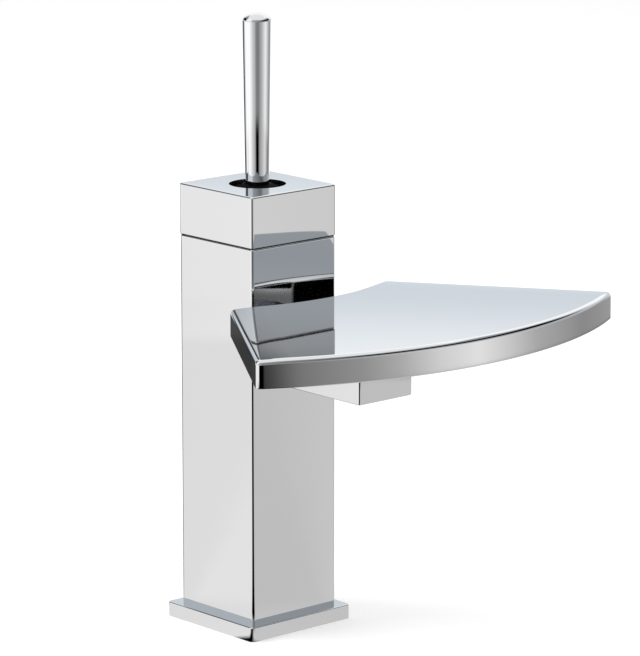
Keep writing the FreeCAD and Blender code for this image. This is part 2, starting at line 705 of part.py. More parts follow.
def makeLever():
    shoulder = f"({hubTop} - Sizes.HubHeight)"
    waist = f"({ballHeight} + Sizes.StemTipLength)"
    ball = solid("Sphere", "StemBall", ("0", "0", ballHeight), Radius="Sizes.BallDiameter / 2")
    tip = rod("StemTip", "Sizes.StemTipDiameter", "Sizes.StemTipLength", ("0", "0", ballHeight))
    shank = rod("StemShank", "Sizes.StemDiameter", f"{shoulder} - {waist}", ("0", "0", waist))
    studPart = rod("StemStud", "Sizes.StudThread - 2 * Sizes.ThreadPlay",
                   "Sizes.HubHeight + Sizes.StudLength", ("0", "0", shoulder))
    hole = rod("StemPinHole", "Sizes.PinDiameter + 2 * Sizes.PinPlay", pinLength, pinStart, "Y")
    keep("lever_stem", cut("LeverStem", fused("StemBlank", ball, tip, shank, studPart), hole))

    pivot = ("0", "0", pivotHeight)
    dome = solid("Sphere", "DustOutside", pivot, Radius="Sizes.DustRadius", Angle1="90 - Sizes.DustSpan")
    hollow = solid("Sphere", "DustInside", pivot, Radius="Sizes.DustRadius - Sizes.DustWall")
    hub = rod("DustHub", "Sizes.LeverFoot", "Sizes.HubHeight", ("0", "0", shoulder))
    bore = rod("DustBore", "Sizes.StudThread", "Sizes.HubHeight", ("0", "0", shoulder))
    keep("dust_cover", cut("DustCover", fused("DustBlank", cut("DustShell", dome, hollow), hub), bore))

    body = newBody("LeverHandle")
    sketch = sketchOn(body, "XZ_Plane", "HandleOutline")
    foot, tip = sizes["LeverFoot"] / 2, sizes["LeverTip"] / 2
    top = sizes["LeverHeight"]
    rim = top - sizes["LeverDome"]
    crest = Vector(tip / 2, (rim + 2 * top) / 3, 0)
    axis = sketch.addGeometry(Part.LineSegment(Vector(0, top, 0), Vector(0, 1, 0)))
    bottom = sketch.addGeometry(Part.LineSegment(Vector(0, 1, 0), Vector(foot, 1, 0)))
    flank = sketch.addGeometry(Part.LineSegment(Vector(foot, 1, 0), Vector(tip, rim, 0)))
    crown = sketch.addGeometry(Part.Arc(Vector(tip, rim, 0), crest, Vector(0, top, 0)))
    for first, second in ((axis, bottom), (bottom, flank), (flank, crown), (crown, axis)):
        sketch.addConstraint(Sketcher.Constraint("Coincident", first, 2, second, 1))
    pin(sketch, axis, 1, "0", f"{capTop} + Sizes.LeverHeight")
    pin(sketch, bottom, 1, "0", hubTop)
    pin(sketch, bottom, 2, "Sizes.LeverFoot / 2", hubTop)
    pin(sketch, flank, 2, "Sizes.LeverTip / 2", f"{capTop} + Sizes.LeverHeight - Sizes.LeverDome")
    sketch.addConstraint(Sketcher.Constraint("PointOnObject", crown, 3, -2))
    stick = spun(body, "Stick", sketch)
    doc.recompute()
    brow = stick.Shape.BoundBox.ZMax - sizes["LeverDome"]
    rounded(body, "StickRim", stick, "Sizes.LeverRim",
            lambda box: abs(box.ZMin - brow) < TINY and abs(box.ZMax - brow) < TINY)
    tap = sketchOn(body, "XY_Plane", "HandleTapOutline", hubTop)
    circle(tap, "Sizes.StudThread")
    sunk(body, "HandleTap", tap, "Sizes.StudLength + Sizes.TapRunout", forward=True)
    keep("lever_handle", body)


# ---- cap ----


def makeCap():
    seal = newBody("CapSeal")
    outline = sketchOn(seal, "XY_Plane", "SealOutline", "Sizes.SeamHeight")
    square(outline, f"{halfColumn} - Sizes.SealInset")
    square(outline, f"{coreHalf} + Sizes.GasketPlay")
    raised(seal, "Seal", outline, "Sizes.SealThickness")
    keep("cap_seal", seal)

    body = newBody("CapBlock")
    outline = sketchOn(body, "XY_Plane", "CapOutline", capBottom)
    square(outline, "Sizes.CapWidth / 2")
    cap = raised(body, "Cap", outline, "Sizes.CapHeight")
    edges = rounded(body, "CapSides", cap, "Sizes.ColumnEdge", upright)
    doc.recompute()
    rounded(body, "CapRim", edges, "Sizes.CapEdge", atTopOf(edges.Shape))
    spigot = sketchOn(body, "XY_Plane", "SpigotOutline", capBottom)
    square(spigot, coreHalf)
    raised(body, "Spigot", spigot, "Sizes.SpigotDepth", down=True)
    bore = sketchOn(body, "XY_Plane", "CapBoreOutline", f"{capBottom} - Sizes.SpigotDepth")
    circle(bore, "Sizes.CapBore")
    sunk(body, "CapHollow", bore, "Sizes.SpigotDepth + Sizes.CapHeight - Sizes.CapRoof", forward=True)
    hole = sketchOn(body, "XY_Plane", "CapHoleOutline", capTop)
    circle(hole, "Sizes.CapHole")
    sunk(body, "CapOpening", hole, "Sizes.CapRoof")
    keep("cap_block", body)


# ---- arm ----


armScrewPlaces = [
    (x, f"{side}(Sizes.ArmWidth / 2 - Sizes.ArmSideWall / 2)")
    for x in ("Sizes.ArmScrewFirst", "Sizes.ArmScrewFirst + Sizes.ArmScrewPitch")
    for side in sides
]


def mouthSpan(margin):
    """The water's way from the arm into the fan, along the spout's length."""
    return (f"(Sizes.MouthRear - {margin})", f"(Sizes.MouthRear + Sizes.MouthLength + {margin})")


def makeArm():
    body = newBody("SpoutArm")
    side = "Sizes.ArmWidth / 2"
    wall = "(Sizes.ArmWidth / 2 - Sizes.ArmSideWall)"
    outline = sketchOn(body, "XY_Plane", "ArmOutline", armBottom)
    rectangle(outline, (halfColumn, armFront), both(side))
    beam = raised(body, "Beam", outline, "Sizes.ArmHeight")
    doc.recompute()
    rear = beam.Shape.BoundBox.XMin
    rounded(body, "BeamEdges", beam, "Sizes.ArmEdge", lambda box: box.XMax > rear + TINY)
    chamber = sketchOn(body, "XY_Plane", "ChamberOutline", f"{armBottom} + Sizes.ArmFloor")
    rectangle(chamber, (f"{halfColumn} + Sizes.ArmRearWall", f"{armFront} - Sizes.ArmFrontWall"), both(wall))
    sunk(body, "Chamber", chamber, "Sizes.ArmHeight - Sizes.ArmFloor - Sizes.ArmRoof", forward=True)
    mouth = sketchOn(body, "XY_Plane", "MouthOutline", fanUnder)
    rectangle(mouth, mouthSpan("0"), both("Sizes.MouthWidth / 2"))
    sunk(body, "Mouth", mouth, "Sizes.ArmRoof")
    seat = sketchOn(body, "XY_Plane", "MouthSeatOutline", fanUnder)
    rectangle(seat, mouthSpan("Sizes.MouthSealWidth"), both("(Sizes.MouthWidth / 2 + Sizes.MouthSealWidth)"))
    sunk(body, "MouthSeat", seat, "Sizes.MouthSealThickness")
    taps = sketchOn(body, "XY_Plane", "ArmTapOutline", fanUnder)
    for x, y in armScrewPlaces:
        circle(taps, "Sizes.ScrewDiameter", x, y)
    sunk(body, "ArmTaps", taps, "Sizes.ScrewBite + Sizes.TapRunout")
    port = sketchOn(body, "YZ_Plane", "ArmPortOutline", halfColumn)
    circle(port, nippleHole, "0", nippleHeight)
    sunk(body, "ArmPort", port, "Sizes.ArmRearWall", forward=True)
    groove = sketchOn(body, "YZ_Plane", "ArmGrooveOutline", halfColumn)
    circle(groove, "Sizes.ArmRingDiameter + Sizes.ArmRingSection + 2 * Sizes.RingPlay", "0", nippleHeight)
    circle(groove, "Sizes.ArmRingDiameter - Sizes.ArmRingSection - 2 * Sizes.RingPlay", "0", nippleHeight)
    sunk(body, "ArmGroove", groove, "Sizes.ArmRingSection", forward=True)
    keep("spout_arm", body)

    ringAt = (f"{halfColumn} + Sizes.ArmRingSection / 2", "0", nippleHeight)
    keep("arm_seal", ring("ArmSeal", "Sizes.ArmRingDiameter", "Sizes.ArmRingSection", ringAt, "X"))


def makeNipple():
    wallFace = f"({halfColumn} + Sizes.ArmRearWall)"
    headFace = f"({wallFace} + Sizes.WasherThickness)"
    tip = f"({casingInside} - Sizes.NippleBite)"
    length = f"{headFace} - {tip}"
    keyFloor = f"{headFace} + Sizes.NippleHeadHeight - Sizes.NippleHexDepth"
    shank = rod("NippleShank", "Sizes.NippleDiameter - 2 * Sizes.ThreadPlay", length,
                (tip, "0", nippleHeight), "X")
    head = rod("NippleHeadPart", "Sizes.NippleHead", "Sizes.NippleHeadHeight",
               (headFace, "0", nippleHeight), "X")
    bore = rod("NippleBorePart", "Sizes.NippleBore", f"{length} + Sizes.NippleHeadHeight",
               (tip, "0", nippleHeight), "X")
    key = solid("Prism", "NippleKey", (keyFloor, "0", nippleHeight), "X",
                Circumradius="Sizes.NippleHex / 2 / cos(30)", Height="Sizes.NippleHexDepth")
    keep("outlet_nipple", cut("OutletNipple", fused("NippleBlank", shank, head), bore, key))
    washerAt = (wallFace, "0", nippleHeight)
    outside = rod("WasherOutside", "Sizes.NippleHead", "Sizes.WasherThickness", washerAt, "X")
    inside = rod("WasherInside", nippleHole, "Sizes.WasherThickness", washerAt, "X")
    keep("nipple_washer", cut("NippleWasher", outside, inside))


def makeMouthGasket():
    low = f"{fanUnder} - Sizes.MouthSealThickness"
    outer = block("MouthGasketOutside", mouthSpan("(Sizes.MouthSealWidth - Sizes.GasketPlay)"),
                  both("(Sizes.MouthWidth / 2 + Sizes.MouthSealWidth - Sizes.GasketPlay)"), (low, fanUnder))
    inner = block("MouthGasketInside", mouthSpan("0"), both("(Sizes.MouthWidth / 2)"), (low, fanUnder))
    keep("mouth_gasket", cut("MouthGasket", outer, inner))


# ---- fan spout ----


def fanOutline(sketch):
    """Two arcs about the spout's middle line, joined by two straight flanks."""
    rearX, rearY = sizes["FanRearCorner"], sizes["FanRearHalf"]
    frontX, frontY = sizes["FanFrontCorner"], sizes["FanFrontHalf"]
    arcs = []
    for x, y, radius in ((rearX, rearY, sizes["FanRearRadius"]), (frontX, frontY, sizes["FanFrontRadius"])):
        middle = Vector(x - math.sqrt(radius ** 2 - y ** 2) + radius, 0, 0)
        arcs.append(sketch.addGeometry(Part.Arc(Vector(x, -y, 0), middle, Vector(x, y, 0))))
    rear, front = arcs
    left = sketch.addGeometry(Part.LineSegment(Vector(rearX, rearY, 0), Vector(frontX, frontY, 0)))
    right = sketch.addGeometry(Part.LineSegment(Vector(rearX, -rearY, 0), Vector(frontX, -frontY, 0)))
    meets = ((rear, 2, left, 1), (rear, 1, right, 1), (front, 2, left, 2), (front, 1, right, 2))
    for first, end, second, start in meets:
        sketch.addConstraint(Sketcher.Constraint("Coincident", first, end, second, start))
    for end in (1, 2):
        sketch.addConstraint(Sketcher.Constraint("Symmetric", left, end, right, end, -1))
    pin(sketch, left, 1, "Sizes.FanRearCorner", "Sizes.FanRearHalf")
    pin(sketch, left, 2, "Sizes.FanFrontCorner", "Sizes.FanFrontHalf")
    for arc, name in ((rear, "FanRearRadius"), (front, "FanFrontRadius")):
        index = sketch.addConstraint(Sketcher.Constraint("Radius", arc, sizes[name]))
        sketch.renameConstraint(index, name)
        sketch.setExpression(f"Constraints.{name}", f"Sizes.{name}")


def fanSlab(name, inset, low, high):
    """The fan's outline drawn in by an inset, from one height to another."""
    drawnIn = doc.addObject("Part::Offset2D", f"{name}Line")
    drawnIn.Source = plainOutline
    drawnIn.Join = "Intersection"
    drawnIn.setExpression("Value", f"-({inset})")
    slab = doc.addObject("Part::Extrusion", name)
    slab.Base = drawnIn
    slab.DirMode = "Custom"
    slab.Dir = Vector(0, 0, 1)
    slab.Solid = True
    slab.setExpression("LengthFwd", f"({high}) - ({low})")
    slab.setExpression("Placement.Base.z", low)
    return slab


plainOutline = doc.addObject("Sketcher::SketchObject", "FanOutline")
fanOutline(plainOutline)


def frontRound(name, radius, low, high):
    """A round about the centre of the front edge's arc."""
    return rod(name, f"2 * ({radius})", f"({high}) - ({low})", (frontCentre, "0", low))


def fanPlaces():
    """Screws in two rows that follow the front edge's arc and the rear edge's."""
    front = (frontCentre, "(Sizes.FanFrontRadius - Sizes.FanScrewFront)")
    rear = (rearCentre, "(Sizes.FanRearRadius + Sizes.FanScrewRear)")
    rows = [
        (*front, "Sizes.FanScrewInnerAngle"),
        (*front, "Sizes.FanScrewOuterAngle"),
        (*rear, "Sizes.FanScrewRearAngle"),
    ]
    return [
        (f"{centre} + {reach} * cos({angle})", f"{side}{reach} * sin({angle})")
        for centre, reach, angle in rows
        for side in sides
    ]


def makeFanCover():
    body = newBody("FanShell")
    outline = sketchOn(body, "XY_Plane", "FanShellOutline", fanUnder)
    fanOutline(outline)
    slab = raised(body, "FanBlock", outline, "Sizes.FanThickness")
    doc.recompute()
    low = slab.Shape.BoundBox.ZMin
    faces = enumerate(slab.Shape.Faces, start=1)
    under = [f"Face{k}" for k, face in faces if face.BoundBox.ZMax < low + TINY]
    shell = body.newObject("PartDesign::Thickness", "FanWalls")
    shell.Base = (slab, under)
    shell.Reversed = True
    shell.Join = "Intersection"
    shell.setExpression("Value", "Sizes.FanWall")
    doc.recompute()
    full = shell.Shape.BoundBox
    corners = rounded(body, "FanCorners", shell, "Sizes.FanCorner",
                      lambda box: upright(box) and box.ZLength > full.ZLength - TINY)
    doc.recompute()
    reach = corners.Shape.BoundBox
    rounded(body, "FanRim", corners, "Sizes.FanEdge", lambda box: box.ZMin > reach.ZMax - TINY)
    doc.recompute()

    ribFoot = f"({floorTop} + Sizes.FanSealThickness)"
    ribOut = fanSlab("RibOutside", "Sizes.FanWall", ribFoot, fanCeiling)
    ribIn = fanSlab("RibInside", "(Sizes.FanWall + Sizes.FanRib)", ribFoot, fanCeiling)
    ribEnd = frontRound("RibEnd", slotRadius, ribFoot, fanCeiling)
    rib = shared("FanRibPiece", cut("RibRing", ribOut, ribIn), ribEnd)
    bosses, holes = [], []
    tapDepth = "Sizes.FanScrewBite + Sizes.FanTapRunout"
    for k, (x, y) in enumerate(fanPlaces()):
        bosses.append(rod(f"FanBoss{k}", "Sizes.FanBoss", f"{fanCeiling} - {floorTop}", (x, y, floorTop)))
        holes.append(rod(f"FanTap{k}", "Sizes.ScrewDiameter", tapDepth, (x, y, floorTop)))
    keep("fan_cover", cut("FanCover", fused("FanCoverBlank", body, rib, *bosses), *holes))


def makeFanFloor():
    plate = fanSlab("FloorPlate", "(Sizes.FanWall + Sizes.FanPlay)", fanUnder, floorTop)
    trimmed = shared("FloorTrimmed", plate, frontRound("FloorEnd", slotRadius, fanUnder, floorTop))
    mouth = block("FloorMouth", mouthSpan("0"), both("(Sizes.MouthWidth / 2)"), (fanUnder, floorTop))
    holes = [mouth]
    for k, (x, y) in enumerate(fanPlaces()):
        holes.append(rod(f"FloorHole{k}", "Sizes.ScrewDiameter + 2 * Sizes.HeadPlay", "Sizes.FanFloor",
                         (x, y, fanUnder)))
        holes.append(rod(f"FloorHead{k}", "Sizes.ScrewHead + 2 * Sizes.HeadPlay", "Sizes.ScrewHeadHeight",
                         (x, y, fanUnder)))
    for k, (x, y) in enumerate(armScrewPlaces):
        holes.append(rod(f"FloorArmHole{k}", "Sizes.ScrewDiameter + 2 * Sizes.HeadPlay", "Sizes.FanFloor",
                         (x, y, fanUnder)))
    keep("fan_floor", cut("FanFloor", trimmed, *holes))

    sealTop = f"({floorTop} + Sizes.FanSealThickness)"
    sealOut = fanSlab("SealOutside", "(Sizes.FanWall + Sizes.FanPlay)", floorTop, sealTop)
    sealIn = fanSlab("SealInside", "(Sizes.FanWall + Sizes.FanRib)", floorTop, sealTop)
    sealEnd = frontRound("SealEnd", slotRadius, floorTop, sealTop)
    keep("fan_seal", shared("FanSeal", cut("SealRing", sealOut, sealIn), sealEnd))


def makeFlowComb():
    radius = "(Sizes.FanFrontRadius - Sizes.CombInset)"
    outer = frontRound("CombOutside", radius, floorTop, fanCeiling)
    inner = frontRound("CombInside", f"{radius} - Sizes.CombThickness", floorTop, fanCeiling)
    inside = fanSlab("CombLimit", "(Sizes.FanWall + Sizes.FanRib + Sizes.FanPlay)", floorTop, fanCeiling)
    strip = shared("CombStrip", cut("CombRing", outer, inner), inside)
    slots = []
    halfSpan = math.degrees(math.asin(sizes["FanFrontHalf"] / sizes["FanFrontRadius"]))
    steps = int(halfSpan / sizes["CombSlotPitch"]) - 1
    for step in range(-steps, steps + 1):
        name = f"CombSlot{step + steps}"
        slot = doc.addObject("Part::Box", name)
        slot.setExpression("Length", "Sizes.FanFrontRadius")
        slot.setExpression("Width", "Sizes.CombSlotWidth")
        slot.setExpression("Height", "Sizes.CombSlotHeight")
        turn = Rotation(Vector(0, 0, 1), step * sizes["CombSlotPitch"])
        slot.Placement = Placement(Vector(), turn)
        angle = f"({step} * Sizes.CombSlotPitch)"
        slot.setExpression("Placement.Base.x", f"{frontCentre} + Sizes.CombSlotWidth / 2 * sin({angle})")
        slot.setExpression("Placement.Base.y", f"-Sizes.CombSlotWidth / 2 * cos({angle})")
        slot.setExpression("Placement.Base.z", floorTop)
        slots.append(slot)
    keep("flow_comb", cut("FlowComb", strip, *slots))


def makeFanScrews():
    under = [
        screw(f"FanScrew{k}", x, y, f"({fanUnder} + Sizes.ScrewHeadHeight)", False,
              "Sizes.FanFloor - Sizes.ScrewHeadHeight + Sizes.FanScrewBite")
        for k, (x, y) in enumerate(fanPlaces())
    ]
    keep("fan_screws", group("FanScrews", under))
    inside = [
        screw(f"ArmScrew{k}", x, y, floorTop, True, "Sizes.FanFloor + Sizes.ScrewBite")
        for k, (x, y) in enumerate(armScrewPlaces)
    ]
    keep("arm_screws", group("ArmScrews", inside))


for make in (makeBasePlate, makeDeckGasket, makeFootBlock, makePlateScrews, makeCasing, makeRisers,
             makeValveBody, makeCartridge, makeMovingDisc, makeRotor, makeLever, makeCap, makeArm, makeNipple,
             makeMouthGasket, makeFanCover, makeFanFloor, makeFlowComb, makeFanScrews):
    make()
doc.recompute()

# every feature and sub-part is sound before anything is written
for thing in doc.Objects:
    if "Invalid" in thing.State or "Error" in thing.State:
        raise RuntimeError(f"{thing.Label} did not build: {thing.State}")
for node, thing in parts.items():
    if thing.Shape.isNull() or not thing.Shape.isValid() or not thing.Shape.Solids:
        raise RuntimeError(f"{node} has no valid solid")

os.makedirs("parts", exist_ok=True)
for node, thing in parts.items():
    thing.Shape.exportStep(f"parts/{node}.step")
    size = thing.Shape.BoundBox
    print(f"{node}: {len(thing.Shape.Solids)} solid, {thing.Shape.Volume:.0f} cubic mm, "
          f"z {size.ZMin:.2f} to {size.ZMax:.2f}")
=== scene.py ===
import json
import math

import bmesh
import bpy
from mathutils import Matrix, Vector

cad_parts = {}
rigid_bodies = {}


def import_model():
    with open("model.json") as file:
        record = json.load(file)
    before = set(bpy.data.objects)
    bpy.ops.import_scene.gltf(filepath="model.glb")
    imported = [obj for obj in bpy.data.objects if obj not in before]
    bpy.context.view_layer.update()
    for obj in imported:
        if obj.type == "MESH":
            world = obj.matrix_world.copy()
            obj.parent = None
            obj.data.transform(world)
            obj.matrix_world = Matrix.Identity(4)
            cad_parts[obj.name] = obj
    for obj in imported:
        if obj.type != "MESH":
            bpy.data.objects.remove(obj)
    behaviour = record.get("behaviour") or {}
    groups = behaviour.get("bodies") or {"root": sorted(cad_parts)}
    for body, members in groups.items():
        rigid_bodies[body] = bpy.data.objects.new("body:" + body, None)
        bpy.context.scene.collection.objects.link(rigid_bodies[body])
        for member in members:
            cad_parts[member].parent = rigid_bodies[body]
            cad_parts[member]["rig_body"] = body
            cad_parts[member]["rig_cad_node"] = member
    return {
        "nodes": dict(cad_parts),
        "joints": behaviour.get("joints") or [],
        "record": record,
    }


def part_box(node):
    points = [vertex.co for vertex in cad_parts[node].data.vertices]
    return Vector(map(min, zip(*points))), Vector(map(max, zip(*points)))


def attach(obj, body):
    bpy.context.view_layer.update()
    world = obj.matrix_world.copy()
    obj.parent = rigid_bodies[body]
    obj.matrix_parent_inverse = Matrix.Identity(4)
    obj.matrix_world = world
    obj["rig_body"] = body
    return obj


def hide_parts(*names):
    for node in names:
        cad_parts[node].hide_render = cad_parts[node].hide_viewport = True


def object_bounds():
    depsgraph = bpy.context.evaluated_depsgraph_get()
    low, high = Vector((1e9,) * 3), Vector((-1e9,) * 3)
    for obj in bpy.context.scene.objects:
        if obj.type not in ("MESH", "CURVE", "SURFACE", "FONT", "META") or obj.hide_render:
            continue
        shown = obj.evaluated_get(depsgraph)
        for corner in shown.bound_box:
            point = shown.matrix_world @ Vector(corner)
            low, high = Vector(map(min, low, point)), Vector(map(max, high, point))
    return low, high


# A single-lever basin tap in polished chrome, on a pale studio floor.
# Lengths are in metres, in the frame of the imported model: X towards the spout, Z up.

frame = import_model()
cadBox = [list(corner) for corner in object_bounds()]
bpy.ops.object.select_all(action="DESELECT")
nodes = frame["nodes"]
print("frame loaded:", len(nodes), "nodes")

sameSpot = 0.00002  # two places this close count as one
weldGap = 0.000002  # points this close are merged
cutGap = 0.000001  # how near a cutting plane a point lies on it
slack = 0.0001  # room left when something is picked by its place


# helpers for modelling as by hand

def pickOnly(piece):
    bpy.ops.object.select_all(action="DESELECT")
    bpy.context.view_layer.objects.active = piece
    piece.select_set(True)


def beginEdit(piece, mode="EDGE"):
    pickOnly(piece)
    bpy.ops.object.mode_set(mode="EDIT")
    bpy.ops.mesh.select_mode(type=mode)
    bpy.ops.mesh.select_all(action="DESELECT")


def endEdit():
    bpy.ops.object.mode_set(mode="OBJECT")
    bpy.ops.object.select_all(action="DESELECT")


def pickFaces(piece, wanted):
    mesh = bmesh.from_edit_mesh(piece.data)
    for face in mesh.faces:
        face.select_set(wanted(face.calc_center_median(), face.normal))
    mesh.select_flush_mode()
    bmesh.update_edit_mesh(piece.data)


def pickEdges(piece, wanted):
    mesh = bmesh.from_edit_mesh(piece.data)
    for edge in mesh.edges:
        edge.select_set(wanted(edge.verts[0].co, edge.verts[1].co))
    mesh.select_flush_mode()
    bmesh.update_edit_mesh(piece.data)


def near(value, place):
    return abs(value - place) < sameSpot


def standsUp(a, b):
    return near(a.x, b.x) and near(a.y, b.y) and not near(a.z, b.z)


def liesAt(height):
    return lambda a, b: near(a.z, height) and near(b.z, height)


def raiseBy(rise):
    bpy.ops.mesh.extrude_region_move(TRANSFORM_OT_translate={"value": (0, 0, rise)})


def bevelPicked(width, steps):
    bpy.ops.mesh.bevel(offset=width, segments=steps, affect="EDGES")


def turnOutwards():
    bpy.ops.mesh.select_all(action="SELECT")
    bpy.ops.mesh.normals_make_consistent(inside=False)


def applyModifier(piece, kind, **settings):
    modifier = piece.modifiers.new(kind.title(), kind)
    for name, value in settings.items():
        setattr(modifier, name, value)
    pickOnly(piece)
    bpy.ops.object.modifier_apply(modifier=modifier.name)
    piece.select_set(False)


def settle(name):
    # name the new piece and put its place into its mesh
    piece = bpy.context.active_object
    piece.name = name
    piece.data.name = name
    pickOnly(piece)
    bpy.ops.object.transform_apply(location=True, rotation=True, scale=True)
    piece.select_set(False)
    return piece


def newBox(name, low, high):
    bpy.ops.mesh.primitive_cube_add(size=1, location=(low + high) / 2, scale=high - low)
    return settle(name)


def newCylinder(name, radius, low, high, steps, middle=(0, 0)):
    bpy.ops.mesh.primitive_cylinder_add(
        vertices=steps, radius=radius, depth=high - low, location=(*middle, (low + high) / 2))
    return settle(name)


def cutAway(piece, cutter):
    applyModifier(piece, "BOOLEAN", operation="DIFFERENCE", solver="EXACT", object=cutter)
    bpy.data.objects.remove(cutter)


def smoothOff(piece, sharpDegrees=40):
    # flat faces stay flat under a mirror finish, and only the rounded edges turn the light
    pickOnly(piece)
    bpy.ops.object.shade_smooth_by_angle(angle=math.radians(sharpDegrees))
    applyModifier(piece, "WEIGHTED_NORMAL", keep_sharp=True, weight=100)


def dress(piece, body, node, slot):
    piece.data.materials.clear()
    piece.data.materials.append(materials[slot])
    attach(piece, body)
    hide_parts(node)


# materials

def mathNode(tree, operation, first, second):
    node = tree.nodes.new("ShaderNodeMath")
    node.operation = operation
    for socket, value in zip(node.inputs, (first, second)):
        if hasattr(value, "is_linked"):
            tree.links.new(value, socket)
        else:
            socket.default_value = value
    return node.outputs[0]


def buildHandling():
    # faint cloudy haze and fine wipe marks, as on a plated or moulded surface that is used
    group = bpy.data.node_groups.new("handling", "ShaderNodeTree")
    sockets = group.interface
    sockets.new_socket("Vector", in_out="INPUT", socket_type="NodeSocketVector")
    for name in ("Cloud Size", "Mark Size", "Amount"):
        sockets.new_socket(name, in_out="INPUT", socket_type="NodeSocketFloat")
    for name in ("Haze", "Height"):
        sockets.new_socket(name, in_out="OUTPUT", socket_type="NodeSocketFloat")
    start = group.nodes.new("NodeGroupInput")
    end = group.nodes.new("NodeGroupOutput")
    cloud = group.nodes.new("ShaderNodeTexNoise")
    cloud.inputs["Detail"].default_value = 3.0
    marks = group.nodes.new("ShaderNodeTexNoise")
    marks.inputs["Detail"].default_value = 2.0
    for texture, size in ((cloud, "Cloud Size"), (marks, "Mark Size")):
        group.links.new(start.outputs["Vector"], texture.inputs["Vector"])
        group.links.new(start.outputs[size], texture.inputs["Scale"])
    both = mathNode(group, "MULTIPLY", cloud.outputs["Fac"], marks.outputs["Fac"])
    haze = mathNode(group, "MULTIPLY", both, start.outputs["Amount"])
    group.links.new(haze, end.inputs["Haze"])
    group.links.new(cloud.outputs["Fac"], end.inputs["Height"])
    return group


# colour and tint mix in clouds; cloud and marks are the noise scales, shine the specular level
finishes = {
    "chrome": {
        "colour": (0.665, 0.670, 0.675), "tint": (0.645, 0.652, 0.660), "metallic": 1.0, "shine": 0.5,
        "roughness": 0.018, "haze": 0.05, "cloud": 25.0, "marks": 700.0, "bump": 0.012},
    "brass": {
        "colour": (0.72, 0.52, 0.22), "tint": (0.60, 0.42, 0.17), "metallic": 1.0, "shine": 0.5,
        "roughness": 0.22, "haze": 0.25, "cloud": 90.0, "marks": 1500.0, "bump": 0.10},
    "copper": {
        "colour": (0.78, 0.43, 0.28), "tint": (0.60, 0.30, 0.18), "metallic": 1.0, "shine": 0.5,
        "roughness": 0.24, "haze": 0.25, "cloud": 70.0, "marks": 1200.0, "bump": 0.08},
    "steel": {
        "colour": (0.60, 0.60, 0.61), "tint": (0.50, 0.50, 0.52), "metallic": 1.0, "shine": 0.5,
        "roughness": 0.26, "haze": 0.20, "cloud": 160.0, "marks": 2600.0, "bump": 0.08},
    "black_rubber": {
        "colour": (0.022, 0.022, 0.023), "tint": (0.040, 0.040, 0.041), "metallic": 0.0, "shine": 0.5,
        "roughness": 0.62, "haze": 0.25, "cloud": 240.0, "marks": 3000.0, "bump": 0.25},
    "white_plastic": {
        "colour": (0.80, 0.80, 0.77), "tint": (0.74, 0.74, 0.71), "metallic": 0.0, "shine": 0.5,
        "roughness": 0.36, "haze": 0.20, "cloud": 120.0, "marks": 2400.0, "bump": 0.15},
    "black_plastic": {
        "colour": (0.004, 0.004, 0.004), "tint": (0.007, 0.007, 0.007), "metallic": 0.0, "shine": 0.15,
        "roughness": 0.50, "haze": 0.20, "cloud": 150.0, "marks": 2400.0, "bump": 0.15},
    "ceramic": {
        "colour": (0.90, 0.89, 0.85), "tint": (0.84, 0.83, 0.79), "metallic": 0.0, "shine": 0.5,
        "roughness": 0.16, "haze": 0.12, "cloud": 200.0, "marks": 2800.0, "bump": 0.05},
}
bumpDepth = 0.0002


def makeFinish(name, handling):
    values = finishes[name]
    material = bpy.data.materials.new(name)
    material.use_nodes = True
    tree = material.node_tree
    shader = tree.nodes["Principled BSDF"]
    shader.inputs["Metallic"].default_value = values["metallic"]
    shader.inputs["Specular IOR Level"].default_value = values["shine"]
    place = tree.nodes.new("ShaderNodeTexCoord")
    worn = tree.nodes.new("ShaderNodeGroup")
    worn.node_tree = handling
    for socket, value in (("Cloud Size", "cloud"), ("Mark Size", "marks"), ("Amount", "haze")):
        worn.inputs[socket].default_value = values[value]
    tree.links.new(place.outputs["Object"], worn.inputs["Vector"])
    colours = tree.nodes.new("ShaderNodeMix")
    colours.data_type = "RGBA"
    colours.inputs[6].default_value = (*values["colour"], 1)
    colours.inputs[7].default_value = (*values["tint"], 1)
    tree.links.new(worn.outputs["Height"], colours.inputs[0])
    tree.links.new(colours.outputs[2], shader.inputs["Base Color"])
    rough = mathNode(tree, "ADD", worn.outputs["Haze"], values["roughness"])
    tree.links.new(rough, shader.inputs["Roughness"])
    bump = tree.nodes.new("ShaderNodeBump")
    bump.inputs["Strength"].default_value = values["bump"]
    bump.inputs["Distance"].default_value = bumpDepth
    tree.links.new(worn.outputs["Height"], bump.inputs["Height"])
    tree.links.new(bump.outputs["Normal"], shader.inputs["Normal"])
    return material


handlingGroup = buildHandling()
materials = {name: makeFinish(name, handlingGroup) for name in finishes}
slotOf = {entry["node"]: entry["material_slot"] for entry in frame["record"]["subparts"]}
for node, thing in nodes.items():
    thing.data.materials.clear()
    thing.data.materials.append(materials[slotOf[node]])
print("materials made:", len(materials))


# base plate and arm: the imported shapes, merged and smoothed

def polishedCopy(node, name):
    piece = nodes[node].copy()
    piece.data = nodes[node].data.copy()
    bpy.context.scene.collection.objects.link(piece)
    piece.parent = None
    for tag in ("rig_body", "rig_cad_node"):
        if tag in piece:
            del piece[tag]
    piece.name = name
    piece.data.name = name
    beginEdit(piece, "VERT")
    bpy.ops.mesh.select_all(action="SELECT")
    bpy.ops.mesh.remove_doubles(threshold=weldGap)
    endEdit()
    smoothOff(piece, sharpDegrees=30)
    return piece


dress(polishedCopy("base_plate", "basePlate"), "tap", "base_plate", "chrome")
dress(polishedCopy("spout_arm", "spoutArm"), "tap", "spout_arm", "chrome")
print("base plate and arm done")


# column

column = {"wall": 0.002, "edge": 0.0012, "edgeSteps": 6, "rim": 0.0008, "rimSteps": 4}


